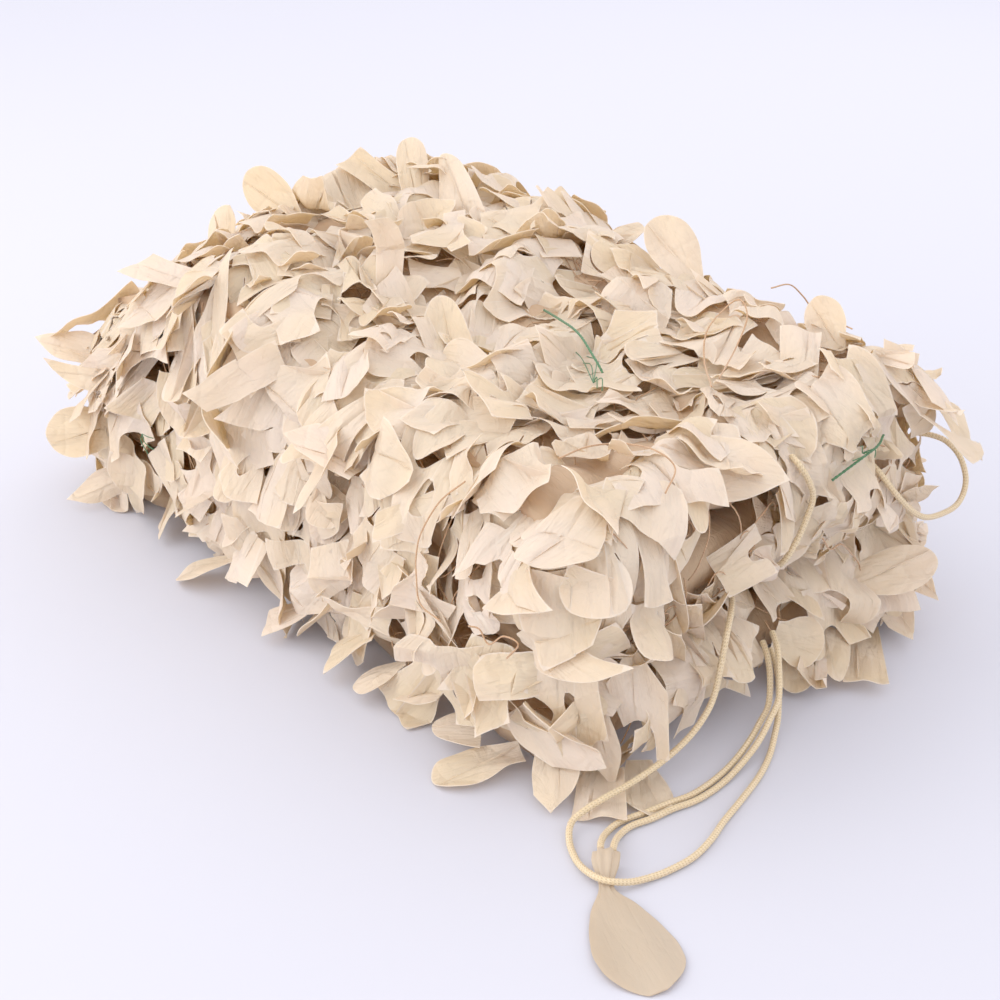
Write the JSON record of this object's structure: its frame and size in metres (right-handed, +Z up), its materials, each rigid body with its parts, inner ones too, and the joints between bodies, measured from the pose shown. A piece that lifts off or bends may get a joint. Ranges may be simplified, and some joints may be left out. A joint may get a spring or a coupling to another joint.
{
  "type": "folded camouflage netting",
  "caption": "Leaf-cut sand-coloured camouflage netting folded back and forth into a bundle, with a braided drawcord and a cloth tag on its loop.",
  "frame": {"origin": "middle of the flat underside of the folded net, on the surface that it lies on", "axes": "+Z up; +X along the bundle to the end where the drawcord comes out; -Y to the long side that the tag lies nearest to"},
  "size_m": [0.8347, 0.522, 0.2718],
  "materials": {
    "leaf_cloth": "plain-woven sand polyester, leaf-cut, slightly see-through, with sealed edges",
    "braided_cord": "round braided polyester cord, tan, soft sheen",
    "green_twine": "thin twisted green polyester twine"
  },
  "bodies": {
    "root": {"folded_net": "leaf_cloth", "drawcord_loop": "braided_cord", "drawcord_tail_left": "braided_cord", "drawcord_tail_right": "braided_cord", "drawcord_side_loop": "braided_cord", "drawcord_valley": "braided_cord", "twine_tie_top": "green_twine", "twine_tie_end": "green_twine", "cord_tag": "leaf_cloth"}
  },
  "joints": []
}
